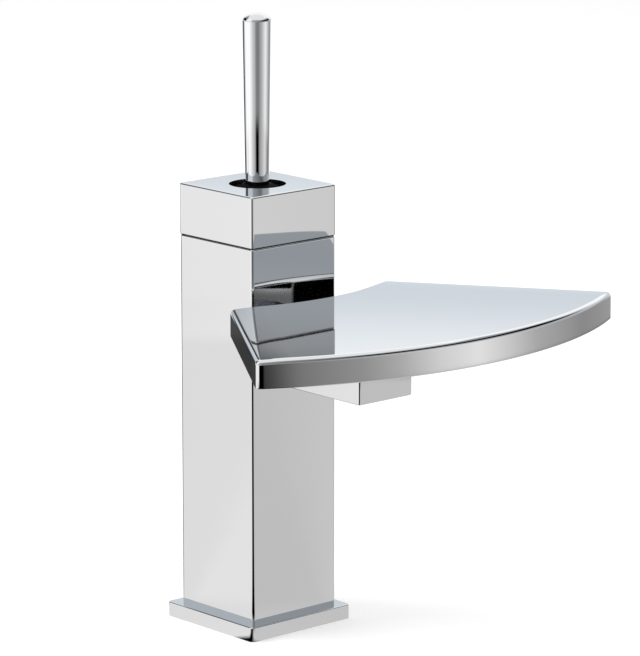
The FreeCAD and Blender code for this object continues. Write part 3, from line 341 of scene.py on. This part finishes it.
def makeColumn():
    low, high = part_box("column_casing")
    atTop = liesAt(high.z)
    outside = high.x - column["wall"] / 2
    piece = newBox("columnCasing", low, high)
    beginEdit(piece)
    pickEdges(piece, standsUp)
    bevelPicked(column["edge"], column["edgeSteps"])
    endEdit()
    inset = Vector((column["wall"], column["wall"], -column["wall"]))  # open at both ends
    cutAway(piece, newBox("columnInside", low + inset, high - inset))
    beginEdit(piece)
    pickEdges(piece, lambda a, b: atTop(a, b) and max(abs(a.x), abs(a.y)) > outside)
    bevelPicked(column["rim"], column["rimSteps"])
    endEdit()
    smoothOff(piece)
    return piece


dress(makeColumn(), "tap", "column_casing", "chrome")
print("column done")


# cap

cap = {"edge": 0.0012, "edgeSteps": 6, "rim": 0.0008, "rimSteps": 4, "roof": 0.002,
       "hole": 0.0116, "holeRim": 0.0002, "holeRimSteps": 2, "bore": 0.017, "roundSteps": 128,
       "spigot": 0.0202, "spigotDrop": 0.004}


def makeCap():
    low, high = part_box("cap_block")
    atTop = liesAt(high.z)
    foot = low.z + cap["spigotDrop"]
    piece = newBox("capBlock", Vector((low.x, low.y, foot)), high)
    beginEdit(piece, "FACE")
    pickFaces(piece, lambda middle, normal: near(middle.z, foot))
    bpy.ops.mesh.inset(thickness=high.x - cap["spigot"])
    raiseBy(-cap["spigotDrop"])
    bpy.ops.mesh.select_mode(type="EDGE")
    pickEdges(piece, lambda a, b: standsUp(a, b) and near(abs(a.x), high.x))
    bevelPicked(cap["edge"], cap["edgeSteps"])
    pickEdges(piece, atTop)
    bevelPicked(cap["rim"], cap["rimSteps"])
    endEdit()
    below = low.z - cap["roof"]
    above = high.z + cap["roof"]
    cutAway(piece, newCylinder("capBore", cap["bore"], below, high.z - cap["roof"], cap["roundSteps"]))
    cutAway(piece, newCylinder("capHole", cap["hole"], foot, above, cap["roundSteps"]))
    beginEdit(piece)
    pickEdges(piece, lambda a, b: atTop(a, b) and max(a.xy.length, b.xy.length) < cap["hole"] + slack)
    bevelPicked(cap["holeRim"], cap["holeRimSteps"])
    endEdit()
    smoothOff(piece)
    return piece


dress(makeCap(), "tap", "cap_block", "chrome")
print("cap done")


# lever

lever = {"foot": 0.00485, "footRim": 0.0002, "footRimSteps": 2, "dome": 0.0026, "domeSteps": 10,
         "brow": 0.0008, "browSteps": 5, "crownShare": 0.25, "roundSteps": 96}


def ringUp(rise, radius, before):
    raiseBy(rise)
    ratio = radius / before
    bpy.ops.transform.resize(value=(ratio, ratio, 1), center_override=(0, 0, 0))


def makeLever():
    low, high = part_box("lever_handle")
    tip = (high.x - low.x) / 2
    brow = high.z - lever["dome"]
    ball = (tip ** 2 + lever["dome"] ** 2) / (2 * lever["dome"])
    bpy.ops.mesh.primitive_circle_add(
        vertices=lever["roundSteps"], radius=lever["foot"], fill_type="NGON", location=(0, 0, low.z))
    piece = settle("leverHandle")
    beginEdit(piece, "FACE")
    bpy.ops.mesh.select_all(action="SELECT")

    # the taper, the domed top ring by ring, and its last small round
    ringUp(brow - low.z, tip, lever["foot"])
    radius, height = tip, brow
    for step in range(1, lever["domeSteps"]):
        across = tip * (1 - step / lever["domeSteps"])
        up = high.z - ball + math.sqrt(ball ** 2 - across ** 2)
        ringUp(up - height, across, radius)
        radius, height = across, up
    ringUp(high.z - height, radius * lever["crownShare"], radius)
    pickEdges(piece, liesAt(brow))
    bevelPicked(lever["brow"], lever["browSteps"])
    pickEdges(piece, liesAt(low.z))
    bevelPicked(lever["footRim"], lever["footRimSteps"])
    turnOutwards()
    endEdit()
    smoothOff(piece, sharpDegrees=50)
    return piece


dress(makeLever(), "lever", "lever_handle", "chrome")
print("lever done")


# dust cover

dust = {"radius": 0.0153, "wall": 0.001, "collar": 0.00485, "roundSteps": 96}


def makeDustCover():
    low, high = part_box("dust_cover")
    pivot = Vector(next(joint for joint in frame["joints"] if joint["name"] == "lever_tilt")["pos_m"])
    bpy.ops.mesh.primitive_uv_sphere_add(
        segments=dust["roundSteps"], ring_count=dust["roundSteps"], radius=dust["radius"], location=pivot)
    piece = settle("dustCover")
    crown = pivot.z + math.sqrt(dust["radius"] ** 2 - dust["collar"] ** 2)
    beginEdit(piece)
    bpy.ops.mesh.select_all(action="SELECT")
    bpy.ops.mesh.bisect(plane_co=pivot, plane_no=(0, 0, 1), clear_inner=True, threshold=cutGap)
    bpy.ops.mesh.select_all(action="SELECT")
    bpy.ops.mesh.bisect(plane_co=(0, 0, crown), plane_no=(0, 0, 1), clear_outer=True, threshold=cutGap)
    pickEdges(piece, liesAt(crown))
    raiseBy(high.z - crown)  # the collar round the lever
    turnOutwards()
    endEdit()
    applyModifier(piece, "SOLIDIFY", thickness=dust["wall"], offset=-1, use_even_offset=True)
    beginEdit(piece)
    bpy.ops.mesh.select_all(action="SELECT")
    bpy.ops.mesh.bisect(plane_co=low, plane_no=(0, 0, 1), clear_inner=True, use_fill=True, threshold=cutGap)
    endEdit()
    smoothOff(piece)
    return piece


dress(makeDustCover(), "lever", "dust_cover", "black_plastic")
print("dust cover done")


# fan spout

fan = {"rearCorner": Vector((0.0309, 0.0416)), "rearRadius": 0.0908,
       "frontCorner": Vector((0.1085, 0.0954)), "frontRadius": 0.1795, "roundSteps": 360,
       "wall": 0.0025, "corner": 0.0025, "cornerSteps": 8, "cornerRoom": 0.003,
       "rim": 0.0019, "rimSteps": 12, "footRim": 0.0004, "footSteps": 6,
       "softReach": 0.014, "softDrop": 0.0005, "softSteps": 5,
       "merge": 0.0003, "down": -0.99, "upward": 0.1}
flank = (fan["frontCorner"] - fan["rearCorner"]).normalized()


def fanOutline(low, high):
    # a disc, its two straight flanks and its concave rear edge
    rear, front = fan["rearCorner"], fan["frontCorner"]
    frontCentre = front.x - math.sqrt(fan["frontRadius"] ** 2 - front.y ** 2)
    rearCentre = rear.x - math.sqrt(fan["rearRadius"] ** 2 - rear.y ** 2)
    reach = high.z - low.z
    piece = newCylinder(
        "fanCover", fan["frontRadius"], low.z, high.z, fan["roundSteps"], (frontCentre, 0))
    for side in (1, -1):
        beginEdit(piece)
        bpy.ops.mesh.select_all(action="SELECT")
        bpy.ops.mesh.bisect(
            plane_co=(rear.x, side * rear.y, 0), plane_no=(-flank.y, side * flank.x, 0),
            clear_outer=True, use_fill=True, threshold=cutGap)
        endEdit()
    cutAway(piece, newCylinder(
        "rearRound", fan["rearRadius"], low.z - reach, high.z + reach, fan["roundSteps"],
        (rearCentre, 0)))
    return piece


def roundFan(piece, low, high):
    corners = [Vector((c.x, s * c.y)) for c in (fan["rearCorner"], fan["frontCorner"]) for s in (1, -1)]

    def fromCorner(a):
        return min((a.xy - corner).length for corner in corners)

    # room for the rounded corners, then the corners and the eased foot
    beginEdit(piece)
    pickEdges(piece, lambda a, b: standsUp(a, b) and slack < fromCorner(a) < fan["cornerRoom"])
    bpy.ops.mesh.dissolve_edges(use_verts=True)
    pickEdges(piece, lambda a, b: standsUp(a, b) and fromCorner(a) < slack)
    bevelPicked(fan["corner"], fan["cornerSteps"])
    pickEdges(piece, liesAt(low.z))
    bevelPicked(fan["footRim"], fan["footSteps"])

    # the hollow from below, with sharp inner corners, and the rounded upper rim
    bpy.ops.mesh.select_mode(type="FACE")
    pickFaces(piece, lambda middle, normal: near(middle.z, low.z) and normal.z < fan["down"])
    bpy.ops.mesh.inset(thickness=fan["wall"] - fan["footRim"], use_even_offset=True)
    bpy.ops.mesh.remove_doubles(threshold=fan["merge"])
    raiseBy(high.z - low.z - fan["wall"])
    bpy.ops.mesh.select_mode(type="EDGE")
    pickEdges(piece, liesAt(high.z))
    bevelPicked(fan["rim"], fan["rimSteps"])
    endEdit()


def softenFlanks(piece, high):
    # polishing has drawn the top down a little along both flanks
    rear = fan["rearCorner"]
    rimFoot = high.z - fan["rim"]

    def fromFlank(a):
        return min((rear.y - side * a.y) * flank.x - (rear.x - a.x) * flank.y for side in (1, -1))

    for side in (1, -1):
        inward = Vector((flank.y, -side * flank.x, 0))
        start = Vector((rear.x, side * rear.y, 0))
        for step in range(1, fan["softSteps"] + 1):
            beginEdit(piece, "FACE")
            pickFaces(piece, lambda middle, normal: middle.z > rimFoot and normal.z > fan["upward"])
            bpy.ops.mesh.bisect(
                plane_co=start + inward * fan["softReach"] * step / fan["softSteps"], plane_no=inward,
                threshold=cutGap)
            endEdit()
    group = piece.vertex_groups.new(name="softEdge")
    for vertex in piece.data.vertices:
        if vertex.co.z > rimFoot - slack:
            share = max(0, 1 - fromFlank(vertex.co) / fan["softReach"])
            group.add([vertex.index], share ** 2, "REPLACE")
    applyModifier(piece, "DISPLACE", direction="Z", mid_level=0, strength=-fan["softDrop"],
                  vertex_group="softEdge")
    piece.vertex_groups.clear()


def makeFan():
    low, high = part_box("fan_cover")
    piece = fanOutline(low, high)
    roundFan(piece, low, high)
    softenFlanks(piece, high)
    smoothOff(piece)
    return piece


dress(makeFan(), "tap", "fan_cover", "chrome")
print("fan spout done")


# studio

# Painted reflections, which only polished metal sees: tones painted on the floor in rings by distance
# from the column, where the camera sees a plain white floor, and a round of glowing studio cards in
# rows by height. Each row fades into the next between its first two numbers. Its list pairs a compass
# angle from the spout, in degrees, with a brightness, and a card row also says how blue it is. The
# values were chosen until the tap's faces came out about as light and as dark as on the photograph's tap.
studio = {
    "floorReach": 12.0,
    "floorPaint": 0.80,
    "floorGlow": 0.42,  # brings the painted floor up to white for the camera
    "floorCool": -0.01,
    "floorReflectionRows": [
        # round the base
        (0.045, 0.065, [
            (-180, 0.05), (-142, 0.84), (-62, 0.88), (-54, 0.0), (-46, 0.0), (-38, 0.66), (60, 0.62),
            (130, 0.0), (180, 0.05)]),
        # the floor close by, which the column's faces mirror
        (0.54, 0.58, [
            (-180, 0.0), (-148, 0.06), (-142, 0.84), (-134, 0.86), (-130, 0.91), (-88, 0.90), (-76, 0.0),
            (-25, 0.0), (-12, 0.60), (36, 0.61), (44, 0.68), (60, 0.60), (130, 0.0), (160, 0.05)]),
        # a ring that is darker towards the spout
        (0.66, 0.68, [
            (-180, 0.0), (-149, 0.09), (-144, 0.12), (-141, 0.90), (-131, 0.98), (-88, 0.95), (-76, 0.0),
            (-25, 0.0), (20, 0.30), (60, 0.20), (130, 0.0)]),
        # the ring that the spout's front edge mirrors
        (0.80, 0.90, [
            (-180, 0.0), (-149, 0.08), (-144, 0.12), (-141, 0.92), (-110, 1.10), (-76, 1.0), (-68, 0.0),
            (-27, 0.0), (-22, 0.09), (-16, 0.21), (0, 0.33), (10, 0.48), (21, 0.73), (33, 0.89),
            (54, 0.46), (76, 0.29), (108, 0.36), (120, 0.80), (130, 0.0), (150, 0.07), (170, 0.0)]),
    ],
    # the rest of the floor, for the cap and the lever
    "farReflectionTones": [
        (-180, 0.10), (-168, 0.15), (-158, 0.98), (-146, 1.10), (-141, 0.93), (-134, 0.96), (-122, 1.15),
        (-106, 1.12), (-88, 0.78), (-72, 0.57), (-62, 0.46), (-50, 0.0), (-32, 0.0), (-21, 0.34),
        (8, 0.58), (28, 0.80), (42, 0.70), (54, 0.44), (70, 0.22), (86, 0.32), (104, 0.70),
        (112, 1.10), (126, 1.10), (136, 0.06)],
    "wallRadius": 1.0,
    "wallHeight": 1.5,
    "wallSteps": 128,
    "wallFoot": (0.004, 0.02),  # below this the cards carry on the floor's tones
    "cardReflectionRows": [
        # low cards
        (0.09, 0.18, 0.0, [
            (-180, 0.10), (-172, 0.30), (-158, 0.95), (-146, 1.18), (-106, 1.18), (-92, 0.97),
            (-75, 0.66), (-61, 0.54), (-49, 0.26), (-31, 0.22), (-21, 0.32), (-3, 0.49), (15, 0.73),
            (33, 1.0), (47, 0.79), (60, 0.55), (75, 0.38), (90, 0.27), (100, 0.60), (110, 1.10),
            (130, 1.10), (140, 0.06)]),
        # three rows at the heights that the tops of cap and spout see
        (0.325, 0.35, 0.075, [
            (-180, 0.50), (-168, 0.70), (-95, 0.70), (-80, 0.42), (-15, 0.22), (20, 0.45), (60, 0.45),
            (100, 0.69), (150, 0.69), (180, 0.50)]),
        (0.355, 0.395, 0.07, [
            (-180, 0.10), (-145, 0.10), (-138, 0.78), (-95, 0.78), (-80, 0.42), (-10, 0.20), (20, 0.49),
            (60, 0.49), (100, 0.69), (150, 0.69), (180, 0.30)]),
        (0.385, 0.43, 0.04, [
            (-180, 0.10), (-145, 0.10), (-138, 0.95), (-95, 0.95), (-80, 0.42), (0, 0.12), (30, 0.42),
            (60, 0.42), (100, 0.86), (150, 0.86), (180, 0.20)]),
        # high cards
        (0.75, 1.00, 0.0, [
            (-180, 0.0), (-145, 0.0), (-136, 1.05), (-95, 1.05), (-80, 0.50), (-12, 0.22), (8, 0.0),
            (75, 0.0), (98, 1.05), (160, 1.05), (176, 0.0)]),
        (1.25, 1.45, 0.0, [
            (-180, 0.30), (-145, 0.30), (-136, 1.05), (-95, 1.05), (-80, 0.50), (-32, 0.40),
            (-24, 0.45), (75, 0.35), (98, 1.05), (160, 1.05), (176, 0.30)]),
    ],
    "gain": 1.26,
    "ceiling": 1.15,
    "ambient": 0.55,
}


def compassTone(tree, angle, tones, cool):
    ramp = tree.nodes.new("ShaderNodeValToRGB")
    ramp.color_ramp.interpolation = "LINEAR"
    stops = ramp.color_ramp.elements
    for index, (degrees, tone) in enumerate(tones):
        position = degrees / 360 + 0.5
        stop = stops[index] if index < 2 else stops.new(position)  # a new ramp has two stops
        stop.position = position
        stop.color = (tone * (1 - cool), tone, tone * (1 + cool), 1)
    tree.links.new(angle, ramp.inputs[0])
    return ramp.outputs["Color"]


def between(tree, value, start, end):
    rise = tree.nodes.new("ShaderNodeMapRange")
    rise.interpolation_type = "SMOOTHSTEP"
    rise.inputs["From Min"].default_value = start
    rise.inputs["From Max"].default_value = end
    tree.links.new(value, rise.inputs["Value"])
    return rise.outputs[0]


def blended(tree, share, first, second):
    blend = tree.nodes.new("ShaderNodeMix")
    blend.data_type = "RGBA"
    tree.links.new(share, blend.inputs[0])
    for socket, value in ((blend.inputs[6], first), (blend.inputs[7], second)):
        if isinstance(value, tuple):
            socket.default_value = value
        else:
            tree.links.new(value, socket)
    return blend.outputs[2]


def mixedShader(tree, share, first, second):
    mix = tree.nodes.new("ShaderNodeMixShader")
    for socket, source in zip(mix.inputs, (share, first, second)):
        tree.links.new(source, socket)
    return mix.outputs[0]


def emission(tree, strength, tone=None):
    light = tree.nodes.new("ShaderNodeEmission")
    light.inputs["Strength"].default_value = strength
    if tone is not None:
        tree.links.new(tone, light.inputs["Color"])
    return light.outputs[0]


def mirroredRay(tree, path):
    return mathNode(tree, "MAXIMUM", path.outputs["Is Glossy Ray"], path.outputs["Is Transmission Ray"])


def emptyMaterial(name):
    material = bpy.data.materials.new(name)
    material.use_nodes = True
    material.node_tree.nodes.clear()
    out = material.node_tree.nodes.new("ShaderNodeOutputMaterial")
    return material, material.node_tree, out.inputs["Surface"]


def paintedReflectionTones(tree):
    # the painted reflection tones of the floor, with the compass angle and the height at which the cards'
    # painted tones are read
    place = tree.nodes.new("ShaderNodeTexCoord")
    split = tree.nodes.new("ShaderNodeSeparateXYZ")
    tree.links.new(place.outputs["Object"], split.inputs[0])
    turn = mathNode(tree, "ARCTAN2", split.outputs["Y"], split.outputs["X"])
    angle = mathNode(tree, "ADD", mathNode(tree, "DIVIDE", turn, 2 * math.pi), 0.5)
    squares = [mathNode(tree, "POWER", split.outputs[axis], 2.0) for axis in ("X", "Y")]
    away = mathNode(tree, "POWER", mathNode(tree, "ADD", *squares), 0.5)
    tone = compassTone(tree, angle, studio["farReflectionTones"], studio["floorCool"])
    for start, end, tones in reversed(studio["floorReflectionRows"]):
        row = compassTone(tree, angle, tones, studio["floorCool"])
        tone = blended(tree, between(tree, away, start, end), row, tone)
    return tone, angle, split.outputs["Z"]


def makeFloor():
    bpy.ops.mesh.primitive_plane_add(size=2 * studio["floorReach"], location=(0, 0, 0))
    floor = settle("floor")
    material, tree, surface = emptyMaterial("paleFloorWithPaintedReflections")
    tone, _, _ = paintedReflectionTones(tree)
    paint = tree.nodes.new("ShaderNodeBsdfDiffuse")
    paint.inputs["Color"].default_value = (studio["floorPaint"],) * 3 + (1,)
    white = tree.nodes.new("ShaderNodeAddShader")
    tree.links.new(paint.outputs[0], white.inputs[0])
    tree.links.new(emission(tree, studio["floorGlow"]), white.inputs[1])
    path = tree.nodes.new("ShaderNodeLightPath")
    forCamera = mixedShader(tree, path.outputs["Is Camera Ray"], paint.outputs[0], white.outputs[0])
    # mirrored rays see the floor glow in painted reflection tones, the camera sees it plain white
    forMetal = mixedShader(
        tree, mirroredRay(tree, path), forCamera, emission(tree, studio["gain"], tone))
    tree.links.new(forMetal, surface)
    floor.data.materials.append(material)


def makeWall():
    # a round of glowing studio cards that only polished metal sees, carrying painted reflections
    bpy.ops.mesh.primitive_cylinder_add(
        vertices=studio["wallSteps"], radius=studio["wallRadius"], depth=studio["wallHeight"],
        end_fill_type="NOTHING", location=(0, 0, studio["wallHeight"] / 2))
    wall = settle("cards")
    material, tree, surface = emptyMaterial("paintedCardReflections")
    floorReflectionTone, angle, height = paintedReflectionTones(tree)
    tone = (studio["ceiling"],) * 3 + (1,)
    # the cards' painted reflection tones, row by row by height
    for start, end, cool, tones in reversed(studio["cardReflectionRows"]):
        row = compassTone(tree, angle, tones, cool)
        tone = blended(tree, between(tree, height, start, end), row, tone)
    tone = blended(tree, between(tree, height, *studio["wallFoot"]), floorReflectionTone, tone)
    tree.links.new(emission(tree, studio["gain"], tone), surface)
    wall.data.materials.append(material)
    wall.visible_camera = False
    wall.visible_diffuse = False
    wall.visible_shadow = False


def makeWorld():
    # soft light on the tap, white behind it, and a bright ceiling for polished metal
    world = bpy.data.worlds.new("studio")
    bpy.context.scene.world = world
    world.use_nodes = True
    tree = world.node_tree
    tree.nodes.clear()
    backgrounds = {}
    for name, strength in (
            ("ambient", studio["ambient"]), ("white", 1.0), ("sky", studio["ceiling"])):
        background = tree.nodes.new("ShaderNodeBackground")
        background.inputs["Color"].default_value = (1, 1, 1, 1)
        background.inputs["Strength"].default_value = strength
        backgrounds[name] = background.outputs[0]
    path = tree.nodes.new("ShaderNodeLightPath")
    forMetal = mixedShader(tree, mirroredRay(tree, path), backgrounds["ambient"], backgrounds["sky"])
    forAll = mixedShader(tree, path.outputs["Is Camera Ray"], forMetal, backgrounds["white"])
    out = tree.nodes.new("ShaderNodeOutputWorld")
    tree.links.new(forAll, out.inputs["Surface"])


lamps = {
    "leftLamp": {"place": (-0.9, -1.2, 1.5), "size": 1.4, "power": 22.0},
    "rightLamp": {"place": (1.1, 0.9, 1.6), "size": 1.4, "power": 12.0},
}


def makeLamps():
    middle = (Vector(cadBox[0]) + Vector(cadBox[1])) / 2
    for name, values in lamps.items():
        data = bpy.data.lights.new(name, "AREA")
        data.energy = values["power"]
        data.size = values["size"]
        lamp = bpy.data.objects.new(name, data)
        bpy.context.scene.collection.objects.link(lamp)
        lamp.location = values["place"]
        lamp.rotation_euler = (middle - lamp.location).to_track_quat("-Z", "Y").to_euler()
        lamp.visible_glossy = False


# the place and the lens come from a camera fitted to the photograph's square column
camera = {"place": (1.2569, -1.0909, 0.4888), "down": 12.41, "round": 48.17, "lens": 234.3,
          "sensor": 36.0, "farEnd": 60.0}


def makeCamera():
    data = bpy.data.cameras.new("camera")
    data.lens = camera["lens"]
    data.sensor_width = camera["sensor"]
    data.sensor_fit = "HORIZONTAL"
    data.clip_end = camera["farEnd"]
    thing = bpy.data.objects.new("camera", data)
    bpy.context.scene.collection.objects.link(thing)
    thing.location = camera["place"]
    thing.rotation_euler = (math.radians(90 - camera["down"]), 0, math.radians(camera["round"]))
    bpy.context.scene.camera = thing


makeFloor()
makeWall()
makeWorld()
makeLamps()
makeCamera()
bpy.context.scene.view_settings.view_transform = "Standard"
print("studio done")
